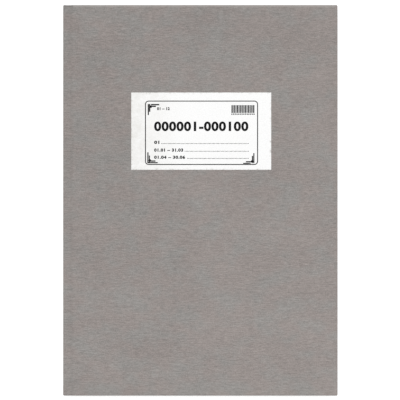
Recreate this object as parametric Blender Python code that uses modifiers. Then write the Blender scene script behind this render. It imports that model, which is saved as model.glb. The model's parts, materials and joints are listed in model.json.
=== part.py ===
"""Case-bound cash book of A4 size, closed and lying on its back cover.

The origin is under the middle of the book, on the surface that it lies on. +X points from the
spine to the fore edge, +Y to the head, and +Z out of the front cover. The book is built on a
cross-section: "inset" is the distance from the outer face of the spine, and "rise" is the
distance from the middle plane of the thickness. The back half mirrors the front half in rise.
"""

import math

import bmesh
import bpy
from mathutils import Vector

MM = 0.001

# Case: overall size, and the materials that it is made of
COVER_WIDTH = 208.0 * MM
COVER_HEIGHT = 296.0 * MM
BOARD_THICKNESS = 2.0 * MM
COVERING_THICKNESS = 0.25 * MM
TURN_IN_WIDTH = 15.0 * MM
SPINE_BOARD_THICKNESS = 1.0 * MM
BOARD_EDGE_ROUNDING = 0.35 * MM
COVER_EDGE_ROUNDING = 0.55 * MM

# Joint beside the spine, where each cover turns
JOINT_WIDTH = 7.3 * MM
HINGE_REACH = 4.15 * MM
HINGE_CLEARANCE = 0.35 * MM
SHOULDER_WIDTH = 1.9 * MM
SHOULDER_DROP = 0.9 * MM
GROOVE_SLOPE = 1.7 * MM
FOLD_RADIUS = 0.6 * MM

# Text block
SQUARE = 3.0 * MM
SECTION_COUNT = 10
LEAVES_PER_SECTION = 10
PAPER_THICKNESS = 0.09 * MM
ENDPAPER_THICKNESS = 0.14 * MM
FRONT_LEAVES = 4
BACK_LEAVES = 2
BOUND_MARGIN = 5.05 * MM
GUTTER_GAP = 0.3 * MM
GUTTER_LIFT = 0.35 * MM

# Spine linings
HOLLOW = 0.07 * MM
LINING_THICKNESS = 0.15 * MM
MULL_THICKNESS = 0.2 * MM
MULL_SHORT_OF_BLOCK = 10.0 * MM
GLUE_THICKNESS = 0.4 * MM
GLUE_SHORT_OF_BLOCK = 1.0 * MM

# Sewing
THREAD_DIAMETER = 0.2 * MM
THREAD_SLOT_DEPTH = 0.26 * MM
THREAD_SLOT_WIDTH = 0.7 * MM
STITCH_SWAY = 0.12 * MM
STATION_COUNT = 5
STATION_FROM_END = 25.0 * MM

# Label on the front cover
LABEL_WIDTH = 106.0 * MM
LABEL_HEIGHT = 58.7 * MM
LABEL_THICKNESS = 0.12 * MM
LABEL_FROM_SPINE = 51.7 * MM
LABEL_BELOW_HEAD = 66.2 * MM

# Clearances between touching pieces
SHEET_GAP = 0.03 * MM

ARC_STEPS = 5

# Rise of each layer, from the middle of the block outwards
SECTION_THICKNESS = LEAVES_PER_SECTION * PAPER_THICKNESS
SECTION_PITCH = SECTION_THICKNESS + SHEET_GAP
BLOCK_RISE = (SECTION_COUNT * SECTION_PITCH - SHEET_GAP) / 2
FLYLEAF_IN = BLOCK_RISE + SHEET_GAP
FLYLEAF_OUT = FLYLEAF_IN + ENDPAPER_THICKNESS
PASTEDOWN_IN = FLYLEAF_OUT + SHEET_GAP
PASTEDOWN_OUT = PASTEDOWN_IN + ENDPAPER_THICKNESS
TURN_IN_IN = PASTEDOWN_OUT + SHEET_GAP
TURN_IN_OUT = TURN_IN_IN + COVERING_THICKNESS
BOARD_IN = TURN_IN_OUT + SHEET_GAP
BOARD_OUT = BOARD_IN + BOARD_THICKNESS
COVERING_IN = BOARD_OUT + SHEET_GAP
COVERING_OUT = COVERING_IN + COVERING_THICKNESS
MULL_LAP_IN = FLYLEAF_OUT + SHEET_GAP
MULL_LAP_OUT = MULL_LAP_IN + MULL_THICKNESS
GROOVE_FLOOR = MULL_LAP_OUT + SHEET_GAP + COVERING_THICKNESS / 2

# Inset of each layer, from the outer face of the spine inwards
SPINE_BOARD_INSET = COVERING_THICKNESS + SHEET_GAP
SPINE_TURN_IN_INSET = SPINE_BOARD_INSET + SPINE_BOARD_THICKNESS + SHEET_GAP
LINING_INSET = SPINE_TURN_IN_INSET + COVERING_THICKNESS + HOLLOW
MULL_INSET = LINING_INSET + LINING_THICKNESS + SHEET_GAP
GLUE_INSET = MULL_INSET + MULL_THICKNESS + SHEET_GAP
BLOCK_INSET = GLUE_INSET + GLUE_THICKNESS + SHEET_GAP
GUTTER_INSET = BLOCK_INSET + BOUND_MARGIN
LEAF_INSET = GUTTER_INSET + GUTTER_GAP
HINGE_INSET = JOINT_WIDTH - HINGE_REACH
GROOVE_END = JOINT_WIDTH - HINGE_CLEARANCE
FORE_EDGE_INSET = COVER_WIDTH - SQUARE

# Turning axes and lengths along the spine
GUTTER_RISE = FLYLEAF_OUT + GUTTER_LIFT
BLOCK_HEIGHT = COVER_HEIGHT - 2 * SQUARE
LEAF_PITCH = PAPER_THICKNESS + SHEET_GAP
FRONT, BACK = 1, -1


def clear_scene():
    for found in list(bpy.data.objects):
        bpy.data.objects.remove(found, do_unlink=True)


def new_collection(name):
    made = bpy.data.collections.new(name)
    bpy.context.scene.collection.children.link(made)
    return made


def new_material(name, colour, roughness):
    made = bpy.data.materials.new(name)
    made.use_nodes = True
    shader = made.node_tree.nodes["Principled BSDF"]
    shader.inputs["Base Color"].default_value = (*colour, 1.0)
    shader.inputs["Roughness"].default_value = roughness
    shader.inputs["Metallic"].default_value = 0.0
    made.diffuse_color = (*colour, 1.0)
    return made


def at(inset, rise, along=0.0):
    """World place of a point of the cross-section."""
    return Vector((inset - COVER_WIDTH / 2, along, rise + COVERING_OUT))


def add_object(name, data, place, material, parent=None):
    data.materials.append(material)
    made = bpy.data.objects.new(name, data)
    book.objects.link(made)
    made.location = place
    if parent:
        made.parent = parent
        made.location = place - parent.location
    return made


def add_axis(name, inset, rise):
    """An empty on a turning axis, which runs along Y through it."""
    made = bpy.data.objects.new(name, None)
    made.empty_display_type = "SINGLE_ARROW"
    book.objects.link(made)
    made.location = at(inset, rise)
    return made


def box_mesh(name, size, offset):
    cage = bmesh.new()
    bmesh.ops.create_cube(cage, size=1.0)
    bmesh.ops.scale(cage, vec=size, verts=cage.verts)
    bmesh.ops.translate(cage, vec=offset, verts=cage.verts)
    mesh = bpy.data.meshes.new(name)
    cage.to_mesh(mesh)
    cage.free()
    return mesh


def add_slab(name, inset, rise, along, material, parent=None, origin=None):
    """A box between two insets, two rises and two places along the spine."""
    low = at(min(inset), min(rise), min(along))
    high = at(max(inset), max(rise), max(along))
    place = origin or (low + high) / 2
    mesh = box_mesh(name, high - low, (low + high) / 2 - place)
    return add_object(name, mesh, place, material, parent)


def add_helper(name, inset, rise, along):
    """A box that cuts or joins another piece and isn't a piece of the book itself."""
    low = at(min(inset), min(rise), min(along))
    high = at(max(inset), max(rise), max(along))
    made = bpy.data.objects.new(name, box_mesh(name, high - low, Vector()))
    made.location = (low + high) / 2
    made.hide_render = True
    made.display_type = "WIRE"
    helpers.objects.link(made)
    return made


def combine(target, helper, operation):
    step = target.modifiers.new(helper.name, "BOOLEAN")
    step.operation = operation
    step.object = helper


def cut(target, cutter):
    combine(target, cutter, "DIFFERENCE")


def join(target, addition):
    combine(target, addition, "UNION")


def round_edges(target, width):
    step = target.modifiers.new("rounded_edges", "BEVEL")
    step.width = width
    step.segments = 3
    step.limit_method = "ANGLE"


def mirrored(rise, side):
    return (side * rise[0], side * rise[1])


def both_ways(length):
    return (-length / 2, length / 2)


def rounded_path(corners, radius):
    """The corners joined by straight runs, with an arc of the radius at each inner corner."""
    path = [Vector(corners[0])]
    for before, here, after in zip(corners, corners[1:], corners[2:]):
        here = Vector(here)
        back = (Vector(before) - here).normalized()
        ahead = (Vector(after) - here).normalized()
        half_angle = back.angle(ahead) / 2
        middle = (back + ahead).normalized()
        centre = here + middle * radius / math.sin(half_angle)
        start = (here + back * radius / math.tan(half_angle) - centre).normalized()
        end = (here + ahead * radius / math.tan(half_angle) - centre).normalized()
        for step in range(ARC_STEPS + 1):
            path.append(centre + radius * start.slerp(end, step / ARC_STEPS))
    path.append(Vector(corners[-1]))
    return path


def add_folded_sheet(name, corners, radius, thickness, length, material):
    """A sheet that follows a path of the cross-section, as an open surface made solid."""
    place = at(0.0, 0.0)
    cage = bmesh.new()
    rows = []
    for along in both_ways(length):
        rows.append([cage.verts.new(at(point.x, point.y, along) - place)
                     for point in rounded_path(corners, radius)])
    for index in range(len(rows[0]) - 1):
        cage.faces.new((rows[0][index], rows[0][index + 1], rows[1][index + 1], rows[1][index]))
    mesh = bpy.data.meshes.new(name)
    cage.to_mesh(mesh)
    cage.free()
    made = add_object(name, mesh, place, material)
    step = made.modifiers.new("thickness", "SOLIDIFY")
    step.thickness = thickness
    step.offset = 0.0
    step.use_even_offset = True
    return made


def add_outline(name, outline, length, material):
    """A flat outline of the cross-section, drawn out along the spine."""
    curve = bpy.data.curves.new(name, "CURVE")
    curve.dimensions = "2D"
    curve.fill_mode = "BOTH"
    curve.extrude = length / 2
    spline = curve.splines.new("POLY")
    spline.points.add(len(outline) - 1)
    for point, (inset, rise) in zip(spline.points, outline):
        point.co = (inset, rise, 0.0, 1.0)
    spline.use_cyclic_u = True
    made = add_object(name, curve, at(0.0, 0.0), material)
    made.rotation_euler = (math.pi / 2, 0.0, 0.0)
    return made


def covering_paper():
    return new_material("grey_covering_paper", (0.314, 0.286, 0.270), 0.85)


def greyboard():
    return new_material("greyboard", (0.33, 0.30, 0.26), 0.9)


def page_paper():
    return new_material("page_paper", (0.86, 0.84, 0.78), 0.8)


def endpaper():
    return new_material("endpaper", (0.88, 0.87, 0.84), 0.8)


def make_case_side(side, name, turning):
    """One cover: its board, the covering paper with its turn-ins, and the pastedown."""
    inner_sheet = mirrored((PASTEDOWN_IN, PASTEDOWN_OUT), side)
    board_room = mirrored((TURN_IN_OUT, COVERING_IN), side)
    board_edge = COVERING_THICKNESS + SHEET_GAP
    board = add_slab(
        name + "_board",
        (JOINT_WIDTH + board_edge, COVER_WIDTH - board_edge),
        mirrored((BOARD_IN, BOARD_OUT), side),
        both_ways(COVER_HEIGHT - 2 * board_edge),
        greyboard(), turning, turning.location)
    round_edges(board, BOARD_EDGE_ROUNDING)

    paper = add_slab(
        name + "_cover_paper",
        (JOINT_WIDTH, COVER_WIDTH),
        mirrored((TURN_IN_IN, COVERING_OUT), side),
        both_ways(COVER_HEIGHT),
        covering_paper(), turning, turning.location)
    round_edges(paper, COVER_EDGE_ROUNDING)
    cut(paper, add_helper(
        name + "_board_room",
        (JOINT_WIDTH + COVERING_THICKNESS, COVER_WIDTH - COVERING_THICKNESS),
        board_room,
        both_ways(COVER_HEIGHT - 2 * COVERING_THICKNESS)))
    cut(paper, add_helper(
        name + "_turn_in_window",
        (JOINT_WIDTH - TURN_IN_WIDTH, COVER_WIDTH - TURN_IN_WIDTH),
        mirrored((0.0, BOARD_IN), side),
        both_ways(COVER_HEIGHT - 2 * TURN_IN_WIDTH)))

    add_slab(
        name + "_pastedown",
        (LEAF_INSET, FORE_EDGE_INSET),
        inner_sheet,
        both_ways(BLOCK_HEIGHT),
        endpaper(), turning, turning.location)


def make_label(turning):
    low_rise = COVERING_OUT + SHEET_GAP
    top = COVER_HEIGHT / 2 - LABEL_BELOW_HEAD
    add_slab(
        "cover_label",
        (LABEL_FROM_SPINE, LABEL_FROM_SPINE + LABEL_WIDTH),
        (low_rise, low_rise + LABEL_THICKNESS),
        (top - LABEL_HEIGHT, top),
        new_material("label_paper", (0.93, 0.93, 0.92), 0.6), turning, turning.location)


def make_spine():
    """What lies between the two covers outside the block: covering paper, stiffener, linings."""
    outer = COVERING_OUT - SHOULDER_DROP - COVERING_THICKNESS / 2
    spine_face = COVERING_THICKNESS / 2
    groove_start = SHOULDER_WIDTH + GROOVE_SLOPE
    half = [(GROOVE_END, GROOVE_FLOOR), (groove_start, GROOVE_FLOOR),
            (SHOULDER_WIDTH, outer), (spine_face, outer)]
    corners = half + [(inset, -rise) for inset, rise in reversed(half)]
    paper = add_folded_sheet("spine_cover_paper", corners, FOLD_RADIUS, COVERING_THICKNESS,
                             COVER_HEIGHT, covering_paper())

    stiffener_rise = outer - FOLD_RADIUS
    for end_name, side in (("head", 1), ("tail", -1)):
        edge = side * COVER_HEIGHT / 2
        join(paper, add_helper(
            f"spine_{end_name}_fold",
            (spine_face, SPINE_TURN_IN_INSET + COVERING_THICKNESS),
            (-stiffener_rise, stiffener_rise),
            (edge - side * COVERING_THICKNESS, edge)))
        join(paper, add_helper(
            f"spine_{end_name}_turn_in",
            (SPINE_TURN_IN_INSET, SPINE_TURN_IN_INSET + COVERING_THICKNESS),
            (-stiffener_rise, stiffener_rise),
            (edge - side * TURN_IN_WIDTH, edge - side * COVERING_THICKNESS / 2)))

    stiffener = add_slab(
        "spine_board",
        (SPINE_BOARD_INSET, SPINE_BOARD_INSET + SPINE_BOARD_THICKNESS),
        (-stiffener_rise, stiffener_rise),
        both_ways(COVER_HEIGHT - 2 * (COVERING_THICKNESS + SHEET_GAP)),
        greyboard())
    round_edges(stiffener, BOARD_EDGE_ROUNDING / 2)

    add_slab(
        "spine_lining",
        (LINING_INSET, LINING_INSET + LINING_THICKNESS),
        (-BLOCK_RISE, BLOCK_RISE),
        both_ways(BLOCK_HEIGHT - 2 * GLUE_SHORT_OF_BLOCK),
        new_material("kraft_lining", (0.42, 0.27, 0.15), 0.85))

    lap_rise = (MULL_LAP_IN + MULL_LAP_OUT) / 2
    mull_inset = MULL_INSET + MULL_THICKNESS / 2
    add_folded_sheet(
        "mull",
        [(HINGE_INSET, lap_rise), (mull_inset, lap_rise), (mull_inset, -lap_rise),
         (HINGE_INSET, -lap_rise)],
        MULL_THICKNESS, MULL_THICKNESS,
        BLOCK_HEIGHT - 2 * MULL_SHORT_OF_BLOCK,
        new_material("mull_cloth", (0.80, 0.78, 0.70), 0.95))


def station_places():
    """Places along the spine where thread passes through the folds."""
    first = -BLOCK_HEIGHT / 2 + STATION_FROM_END
    step = (BLOCK_HEIGHT - 2 * STATION_FROM_END) / (STATION_COUNT - 1)
    return [first + step * index for index in range(STATION_COUNT)]


def make_sewing():
    """The glue on the folds, with a slot at each station, and the thread that lies in it."""
    glue = add_slab(
        "spine_glue",
        (GLUE_INSET, GLUE_INSET + GLUE_THICKNESS),
        (-FLYLEAF_OUT, FLYLEAF_OUT),
        both_ways(BLOCK_HEIGHT - 2 * GLUE_SHORT_OF_BLOCK),
        new_material("dried_glue", (0.80, 0.74, 0.58), 0.35))
    slot_floor = GLUE_INSET + GLUE_THICKNESS - THREAD_SLOT_DEPTH
    thread_inset = slot_floor + THREAD_SLOT_DEPTH / 2
    cotton = (0.88, 0.86, 0.80)
    for number, place in enumerate(station_places(), start=1):
        cut(glue, add_helper(
            f"thread_slot_{number}",
            (slot_floor, BLOCK_INSET + THREAD_SLOT_DEPTH),
            (-COVERING_OUT, COVERING_OUT),
            (place - THREAD_SLOT_WIDTH / 2, place + THREAD_SLOT_WIDTH / 2)))
        curve = bpy.data.curves.new(f"sewing_thread_{number}", "CURVE")
        curve.dimensions = "3D"
        curve.bevel_depth = THREAD_DIAMETER / 2
        curve.bevel_resolution = 2
        curve.use_fill_caps = True
        spline = curve.splines.new("POLY")
        spline.points.add(SECTION_COUNT - 1)
        for index, point in enumerate(spline.points):
            rise = (index - (SECTION_COUNT - 1) / 2) * SECTION_PITCH
            sway = STITCH_SWAY * (-1) ** index
            point.co = (0.0, sway, rise, 1.0)
        add_object(curve.name, curve, at(thread_inset, 0.0, place),
                   new_material(curve.name, cotton, 0.9))


def section_outline(index):
    """A folded section: round at its fold, and thinner past the gutter where leaves turn."""
    low = -BLOCK_RISE + (SECTION_COUNT - 1 - index) * SECTION_PITCH
    high = low + SECTION_THICKNESS
    fold = SECTION_THICKNESS / 2
    centre = BLOCK_INSET + fold
    top_free = FRONT_LEAVES * LEAF_PITCH if index == 0 else 0.0
    low_free = BACK_LEAVES * LEAF_PITCH if index == SECTION_COUNT - 1 else 0.0
    outline = []
    for step in range(2 * ARC_STEPS + 1):
        turn = math.pi / 2 + math.pi * step / (2 * ARC_STEPS)
        outline.append((centre + fold * math.cos(turn), low + fold + fold * math.sin(turn)))
    if low_free:
        outline += [(GUTTER_INSET, low), (GUTTER_INSET, low + low_free)]
    outline += [(FORE_EDGE_INSET, low + low_free), (FORE_EDGE_INSET, high - top_free)]
    if top_free:
        outline += [(GUTTER_INSET, high - top_free), (GUTTER_INSET, high)]
    return outline


def make_sections():
    for index in range(SECTION_COUNT):
        add_outline(f"section_{index + 1:02d}", section_outline(index), BLOCK_HEIGHT, page_paper())


def make_endpaper_fold(side, name):
    """The bound strip of an endpaper, between the first fold and the gutter."""
    add_slab(
        name + "_endpaper_fold",
        (BLOCK_INSET, GUTTER_INSET),
        mirrored((FLYLEAF_IN, FLYLEAF_OUT), side),
        both_ways(BLOCK_HEIGHT),
        endpaper())


def make_leaf(name, side, depth, thickness, paper, gutter):
    """A free leaf, whose outer face lies a depth under the flyleaf's outer face."""
    outer = FLYLEAF_OUT - depth
    add_slab(
        name,
        (LEAF_INSET, FORE_EDGE_INSET),
        mirrored((outer - thickness, outer), side),
        both_ways(BLOCK_HEIGHT),
        paper, gutter, gutter.location)


def make_free_leaves():
    front_gutter = add_axis("front_gutter_axis", GUTTER_INSET, GUTTER_RISE)
    back_gutter = add_axis("back_gutter_axis", GUTTER_INSET, -GUTTER_RISE)
    first_depth = FLYLEAF_OUT - BLOCK_RISE
    last_leaf = SECTION_COUNT * LEAVES_PER_SECTION
    make_leaf("front_flyleaf", FRONT, 0.0, ENDPAPER_THICKNESS, endpaper(), front_gutter)
    make_leaf("back_flyleaf", BACK, 0.0, ENDPAPER_THICKNESS, endpaper(), back_gutter)
    for index in range(FRONT_LEAVES):
        make_leaf(f"leaf_{index + 1:03d}", FRONT, first_depth + index * LEAF_PITCH,
                  PAPER_THICKNESS, page_paper(), front_gutter)
    for index in range(BACK_LEAVES):
        make_leaf(f"leaf_{last_leaf - index:03d}", BACK, first_depth + index * LEAF_PITCH,
                  PAPER_THICKNESS, page_paper(), back_gutter)


def make_covers():
    front_hinge = add_axis("front_hinge_axis", HINGE_INSET, BOARD_IN)
    back_hinge = add_axis("back_hinge_axis", HINGE_INSET, -BOARD_IN)
    make_case_side(FRONT, "front", front_hinge)
    make_case_side(BACK, "back", back_hinge)
    make_label(front_hinge)


clear_scene()
book = new_collection("cash_book")
helpers = new_collection("cutters")
make_covers()
make_spine()
make_sewing()
make_sections()
make_endpaper_fold(FRONT, "front")
make_endpaper_fold(BACK, "back")
make_free_leaves()
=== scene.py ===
"""Cash book: the looks of a case-bound ledger in grey covering paper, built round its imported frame."""

import json
import math
import random
from functools import cached_property, wraps

import bmesh
import bpy
from bpy.props import FloatProperty, FloatVectorProperty, IntProperty, PointerProperty, StringProperty
from mathutils import Matrix, Vector


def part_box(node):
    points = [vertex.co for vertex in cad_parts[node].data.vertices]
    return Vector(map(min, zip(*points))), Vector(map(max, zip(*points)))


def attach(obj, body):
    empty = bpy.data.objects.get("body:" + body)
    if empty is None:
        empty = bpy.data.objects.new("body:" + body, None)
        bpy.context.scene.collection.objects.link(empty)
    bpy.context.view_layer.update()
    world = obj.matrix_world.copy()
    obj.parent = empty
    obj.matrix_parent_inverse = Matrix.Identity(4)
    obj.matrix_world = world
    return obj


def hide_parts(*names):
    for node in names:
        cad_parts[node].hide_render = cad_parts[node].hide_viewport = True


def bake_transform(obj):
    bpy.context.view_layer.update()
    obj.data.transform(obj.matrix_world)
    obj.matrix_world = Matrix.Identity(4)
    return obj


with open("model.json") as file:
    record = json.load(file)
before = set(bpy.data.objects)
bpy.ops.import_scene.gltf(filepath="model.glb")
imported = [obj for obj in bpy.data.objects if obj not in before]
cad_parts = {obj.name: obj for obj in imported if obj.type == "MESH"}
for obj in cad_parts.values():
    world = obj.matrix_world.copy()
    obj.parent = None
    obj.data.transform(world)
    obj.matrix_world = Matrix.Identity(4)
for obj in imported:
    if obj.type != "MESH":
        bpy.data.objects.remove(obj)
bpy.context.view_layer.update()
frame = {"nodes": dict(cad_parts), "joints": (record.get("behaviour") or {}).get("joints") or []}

bl_info = {
    "name": "Cash Book",
    "version": (1, 0, 0),
    "blender": (4, 5, 0),
    "location": "3D View > Sidebar > Cash Book",
    "description": "Covering, label, leaves and studio of a hard-cover cash book",
    "category": "Add Mesh",
}

MM = 0.001
FRONT, BACK = 1, -1

# Places of the cross-section, read from the frame: an inset is measured along X from the spine's
# outer face, and a rise along Z from the middle of the book.
SPINE_LOW, SPINE_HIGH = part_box("spine_cover_paper")
COVER_LOW, COVER_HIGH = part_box("front_cover_paper")
BACK_LOW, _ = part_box("back_cover_paper")
_, STIFFENER_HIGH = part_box("spine_board")
_, FLYLEAF_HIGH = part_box("front_flyleaf")
FOLD_LOW, FOLD_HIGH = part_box("front_endpaper_fold")
LABEL_LOW, LABEL_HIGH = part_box("cover_label")
HINGE = next(joint for joint in frame["joints"] if joint["name"] == "front_cover_hinge")

SPINE_FACE = SPINE_LOW.x
MIDDLE = (COVER_HIGH.z + BACK_LOW.z) / 2
HALF_HEIGHT = COVER_HIGH.y
HALF_BLOCK = FLYLEAF_HIGH.y
COVER_RISE = COVER_HIGH.z - MIDDLE
TURN_IN_RISE = COVER_LOW.z - MIDDLE
SHOULDER_RISE = SPINE_HIGH.z - MIDDLE
HINGE_INSET = HINGE["pos_m"][0] - SPINE_FACE
BOARD_INSET = COVER_LOW.x - SPINE_FACE
COVER_INSET = COVER_HIGH.x - SPINE_FACE
STIFFENER_INSET = STIFFENER_HIGH.x - SPINE_FACE
STIFFENER_RISE = STIFFENER_HIGH.z - MIDDLE
BLOCK_INSET = FOLD_LOW.x - SPINE_FACE
GUTTER_INSET = FOLD_HIGH.x - SPINE_FACE
FORE_EDGE_INSET = FLYLEAF_HIGH.x - SPINE_FACE
LABEL_WIDTH = LABEL_HIGH.x - LABEL_LOW.x
LABEL_HEIGHT = LABEL_HIGH.y - LABEL_LOW.y

SECTIONS = sorted(node for node in frame["nodes"] if node.startswith("section_"))
THREADS = sorted(node for node in frame["nodes"] if node.startswith("sewing_thread_"))
TURNING = sorted(node for node in frame["nodes"] if node.startswith("leaf_"))
FRONT_LEAVES = [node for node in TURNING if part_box(node)[0].z > MIDDLE]
BACK_LEAVES = [node for node in reversed(TURNING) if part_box(node)[0].z < MIDDLE]


class CoveringSettings(bpy.types.PropertyGroup):
    colour: FloatVectorProperty(
        name="Colour", description="Mean colour of the covering paper",
        subtype="COLOR", size=3, min=0, max=1, default=(0.2838, 0.2609, 0.2455))
    mottle: FloatProperty(
        name="Mottle", description="How far the fibres depart from the mean colour",
        subtype="FACTOR", min=0, max=1, default=0.71)
    thickness: FloatProperty(
        name="Thickness", description="Thickness of the covering paper",
        unit="LENGTH", default=0.14 * MM)
    edge_radius: FloatProperty(
        name="Edge radius", description="Rounding of the paper over the edges of the boards",
        unit="LENGTH", default=0.75 * MM)
    corner_radius: FloatProperty(
        name="Corner radius", description="Rounding of the boards' corners, seen from above",
        unit="LENGTH", default=0.8 * MM)
    spine_radius: FloatProperty(
        name="Spine radius", description="Rounding of the paper over the edges of the spine",
        unit="LENGTH", default=1.1 * MM)
    head_softness: FloatProperty(
        name="Head softness", description="How much rounder the head edge is beside the spine",
        subtype="FACTOR", min=0, max=1, default=0.2)
    groove_depth: FloatProperty(
        name="Groove depth", description="Depth of the shallow groove below the spine's shoulder",
        unit="LENGTH", default=0.12 * MM)
    shoulder_width: FloatProperty(
        name="Shoulder", description="Width of the shoulder between the spine's face and the groove",
        unit="LENGTH", default=1.9 * MM)
    groove_slope: FloatProperty(
        name="Groove slope", description="Width of the slope from the shoulder down into the groove",
        unit="LENGTH", default=1.7 * MM)
    groove_ramp: FloatProperty(
        name="Groove ramp", description="Width of the slope from the groove up to the board",
        unit="LENGTH", default=2.6 * MM)
    turn_in: FloatProperty(
        name="Turn-in", description="Width of the covering paper folded inside a board",
        unit="LENGTH", default=15 * MM)
    end_dip: FloatProperty(
        name="End dip", description="How far the paper sinks at the head of the front groove",
        unit="LENGTH", default=0.9 * MM)


class LabelSettings(bpy.types.PropertyGroup):
    paper: FloatVectorProperty(
        name="Paper", description="Colour of the label's paper",
        subtype="COLOR", size=3, min=0, max=1, default=(0.968, 0.968, 0.966))
    ink: FloatVectorProperty(
        name="Ink", description="Colour of the printing ink",
        subtype="COLOR", size=3, min=0, max=1, default=(0.006, 0.006, 0.0065))
    page_numbers: StringProperty(
        name="Page numbers", description="Plain numbers across the label", default="000001-000100")
    numeral_height: FloatProperty(
        name="Numeral height", description="Height of the large numerals",
        unit="LENGTH", default=7.35 * MM)
    corner_numbers: StringProperty(
        name="Corner numbers", description="Small numbers beside the head ornament",
        default="01 – 12")
    row_numbers: StringProperty(
        name="Row numbers",
        description="Plain numbers before the dotted rows, parted by upright strokes",
        default="01|01.01 – 31.03|01.04 – 30.06")


class LeafSettings(bpy.types.PropertyGroup):
    page_colour: FloatVectorProperty(
        name="Page", description="Colour of the ruled leaves",
        subtype="COLOR", size=3, min=0, max=1, default=(0.82, 0.80, 0.73))
    endpaper_colour: FloatVectorProperty(
        name="Endpaper", description="Colour of pastedowns and flyleaves",
        subtype="COLOR", size=3, min=0, max=1, default=(0.86, 0.85, 0.80))
    rule_spacing: FloatProperty(
        name="Rule spacing", description="Distance between the ruled lines of a page",
        unit="LENGTH", default=8 * MM)
    curl: FloatProperty(
        name="Curl", description="Width of a leaf that bends beside the gutter when it turns",
        unit="LENGTH", default=6 * MM)
    unevenness: FloatProperty(
        name="Unevenness", description="How far the edges of the leaves stand back at most",
        unit="LENGTH", default=0.35 * MM)
    seed: IntProperty(
        name="Seed", description="Seed of the small differences between leaves", default=11)


class StageSettings(bpy.types.PropertyGroup):
    lamp_power: FloatProperty(
        name="Lamp power", description="Power of the large lamp over the book",
        unit="POWER", default=58.0)
    fill: FloatProperty(
        name="Fill", description="Strength of the even light from all round",
        subtype="FACTOR", min=0, max=2, default=0.6)
    picture_width: FloatProperty(
        name="Picture width", description="Width of the picture at the front cover",
        unit="LENGTH", default=303.0 * MM)


class CashBookSettings(bpy.types.PropertyGroup):
    covering: PointerProperty(type=CoveringSettings)
    label: PointerProperty(type=LabelSettings)
    leaves: PointerProperty(type=LeafSettings)
    stage: PointerProperty(type=StageSettings)


def settings():
    return bpy.context.scene.cash_book


# Shader nodes

SHEET_PLACE = "sheet_place"


class Shader:
    """A Principled material, with short calls for the nodes that feed it."""

    def __init__(self, name, roughness, attribute):
        self.material = bpy.data.materials.new(name)
        self.material.use_nodes = True
        self.tree = self.material.node_tree
        self.surface = self.tree.nodes["Principled BSDF"]
        self.surface.inputs["Roughness"].default_value = roughness
        self.surface.inputs["Specular IOR Level"].default_value = 0.3
        self.attribute = attribute

    @cached_property
    def place(self):
        """Coordinates in metres that stay with the piece: its sheet's own, or the object's."""
        if self.attribute is None:
            return self.node("ShaderNodeTexCoord").outputs["Object"]
        made = self.node("ShaderNodeAttribute")
        made.attribute_name = self.attribute
        return made.outputs["Vector"]

    def node(self, kind, **inputs):
        made = self.tree.nodes.new(kind)
        for name, value in inputs.items():
            self.feed(made.inputs[name], value)
        return made

    def feed(self, socket, value):
        if isinstance(value, bpy.types.NodeSocket):
            self.tree.links.new(value, socket)
        else:
            socket.default_value = value

    def noise(self, sizes, detail=2.0, rough=0.5, shift=0.0):
        """Noise from 0 to 1 whose grains have the given sizes along X, Y and Z. The shift takes it
        from another place, so that no two noises of a material are alike."""
        mapping = self.node("ShaderNodeMapping", Vector=self.place)
        mapping.inputs["Scale"].default_value = [1 / size for size in sizes]
        mapping.inputs["Location"].default_value = (shift, shift, shift)
        made = self.node("ShaderNodeTexNoise", Vector=mapping.outputs["Vector"],
                         Scale=1.0, Detail=detail, Roughness=rough)
        return made.outputs["Fac"]

    def math(self, operation, *values):
        made = self.node("ShaderNodeMath")
        made.operation = operation
        for socket, value in zip(made.inputs, values):
            self.feed(socket, value)
        return made.outputs["Value"]

    def scaled(self, value, gain, base):
        """The value times a gain, plus a base."""
        return self.math("MULTIPLY_ADD", value, gain, base)

    def total(self, *terms):
        """Sum of (value, weight) terms."""
        summed = 0.0
        for value, weight in terms:
            summed = self.scaled(value, weight, summed)
        return summed

    def product(self, first, *others):
        for other in others:
            first = self.math("MULTIPLY", first, other)
        return first

    def clamped(self, value):
        return self.math("MINIMUM", self.math("MAXIMUM", value, 0.0), 1.0)

    def ramp(self, value, zero, one):
        """0 where the value is at zero, 1 where it is at one, even between and level beyond them."""
        return self.clamped(self.scaled(value, 1 / (one - zero), -zero / (one - zero)))

    def distance_from(self, value, place):
        return self.math("ABSOLUTE", self.math("SUBTRACT", value, place))

    def band(self, value, middle, half_width):
        """1 where the value lies within half_width of the middle, otherwise 0."""
        return self.math("COMPARE", value, middle, half_width)

    def wave(self, value, pitch):
        """A wave over the value, from 0 to 1."""
        turned = self.math("MULTIPLY", value, 2 * math.pi / pitch)
        return self.scaled(self.math("SINE", turned), 0.5, 0.5)

    def axes(self):
        made = self.node("ShaderNodeSeparateXYZ", Vector=self.place)
        return made.outputs["X"], made.outputs["Y"], made.outputs["Z"]

    def mix(self, share, first, second):
        made = self.node("ShaderNodeMix", Factor=share)
        made.data_type = "RGBA"
        sockets = [socket for socket in made.inputs if socket.type == "RGBA"]
        for socket, value in zip(sockets, (first, second)):
            self.feed(socket, value)
        return next(socket for socket in made.outputs if socket.type == "RGBA")

    def brighten(self, colour, factor):
        """The colour times a factor that varies over the surface."""
        made = self.node("ShaderNodeVectorMath")
        made.operation = "SCALE"
        if not isinstance(colour, bpy.types.NodeSocket):
            colour = colour[:3]
        self.feed(made.inputs["Vector"], colour)
        self.feed(made.inputs["Scale"], factor)
        return made.outputs["Vector"]

    def colour(self, value):
        self.feed(self.surface.inputs["Base Color"], value)

    def rough(self, value):
        self.feed(self.surface.inputs["Roughness"], value)

    def bump(self, height, distance, strength):
        made = self.node("ShaderNodeBump", Height=height, Distance=distance, Strength=strength)
        self.feed(self.surface.inputs["Normal"], made.outputs["Normal"])


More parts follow.
